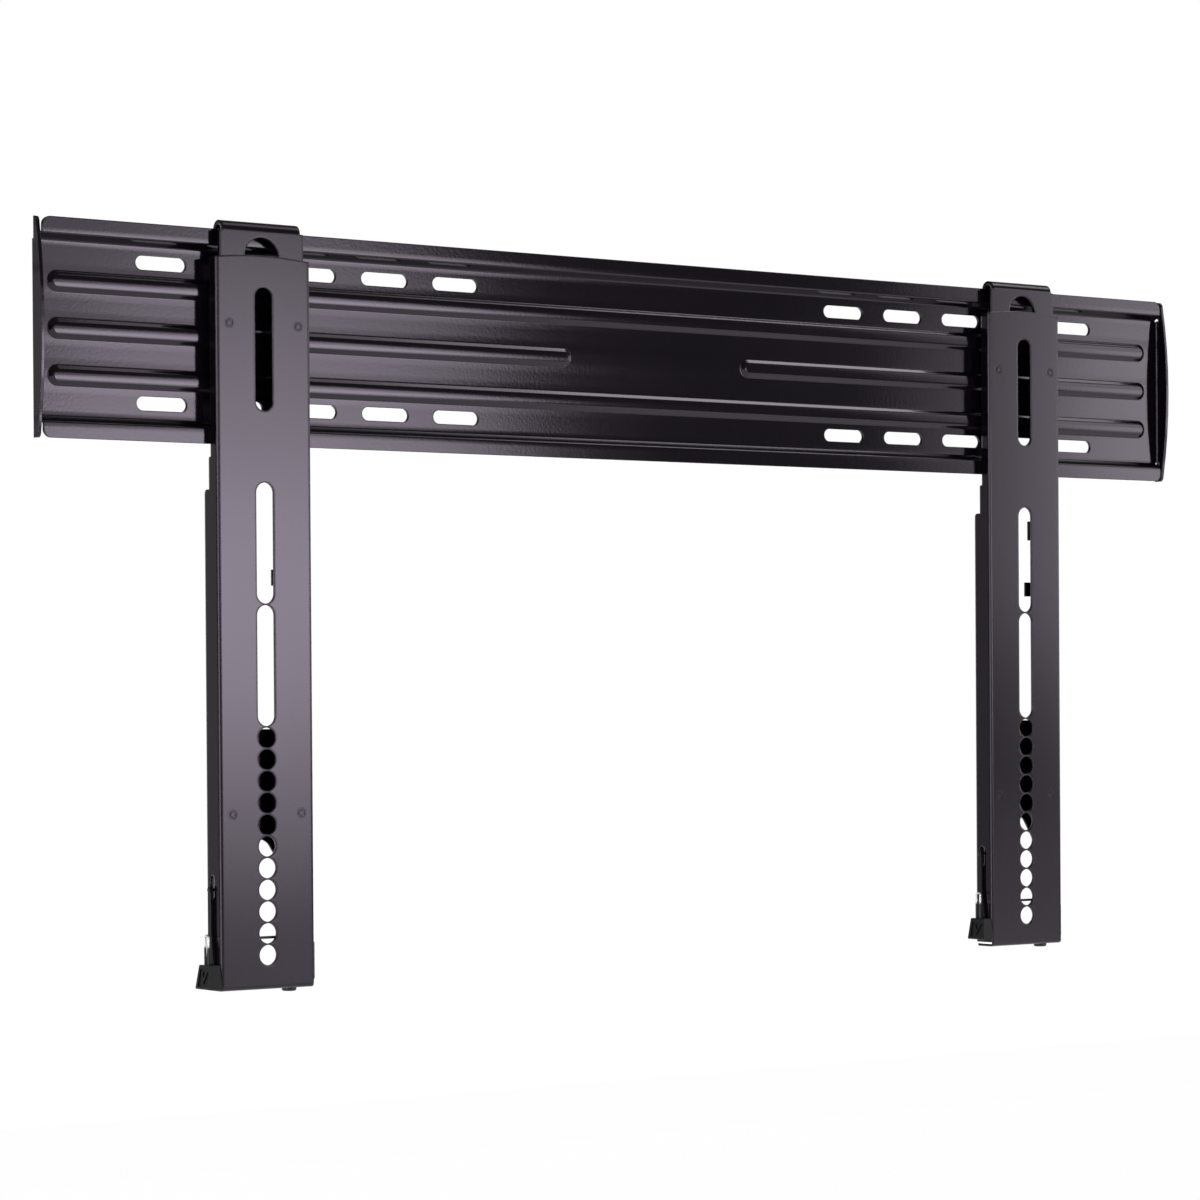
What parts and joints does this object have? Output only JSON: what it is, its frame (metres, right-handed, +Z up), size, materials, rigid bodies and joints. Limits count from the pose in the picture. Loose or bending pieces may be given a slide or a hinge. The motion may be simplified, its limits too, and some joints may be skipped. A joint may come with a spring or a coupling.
{
  "type": "fixed tv wall bracket",
  "caption": "Low-profile fixed TV wall bracket: slotted, ribbed wall plate with flanged ends and two hang-on upright brackets with slots, round holes and sliding release latches.",
  "frame": {"origin": "middle of the wall plate's back face, on the wall", "axes": "+X to the right along the plate, +Y into the wall, +Z up; the room and the viewer are on the minus Y side"},
  "size_m": [0.8748, 0.0174, 0.4502],
  "materials": {
    "black_paint": "semi-gloss black powder paint on steel sheet",
    "black_plastic": "matt black moulded plastic",
    "spring_steel": "bright drawn wire",
    "dark_steel": "black oxide steel"
  },
  "bodies": {
    "plate": {"wall_plate": "black_paint"},
    "left_bracket": {"left_face_channel": "black_paint", "left_hook_plate": "black_paint", "left_guide_plate": "black_paint", "left_cross_wire": "dark_steel", "left_side_strip": "black_paint", "left_lock_screw": "dark_steel", "left_lock_nut": "dark_steel"},
    "left_latch": {"left_latch_bar": "black_paint", "left_latch_pin": "dark_steel", "left_release_pull": "black_plastic", "left_pull_loop": "spring_steel"},
    "right_bracket": {"right_face_channel": "black_paint", "right_hook_plate": "black_paint", "right_guide_plate": "black_paint", "right_cross_wire": "dark_steel", "right_side_strip": "black_paint", "right_lock_screw": "dark_steel", "right_lock_nut": "dark_steel"},
    "right_latch": {"right_latch_bar": "black_paint", "right_latch_pin": "dark_steel", "right_release_pull": "black_plastic", "right_pull_loop": "spring_steel"}
  },
  "joints": [
    {"name": "left_bracket_slide", "type": "slide", "parent": "plate", "child": "left_bracket", "axis": [1, 0, 0], "range_m": [-0.105, 0.255]},
    {"name": "right_bracket_slide", "type": "slide", "parent": "plate", "child": "right_bracket", "axis": [1, 0, 0], "range_m": [-0.255, 0.101]},
    {"name": "left_release_slide", "type": "slide", "parent": "left_bracket", "child": "left_latch", "axis": [0, 0, -1], "range_m": [-0.0036, 0]},
    {"name": "right_release_slide", "type": "slide", "parent": "right_bracket", "child": "right_latch", "axis": [0, 0, -1], "range_m": [0, 0.0036]}
  ]
}
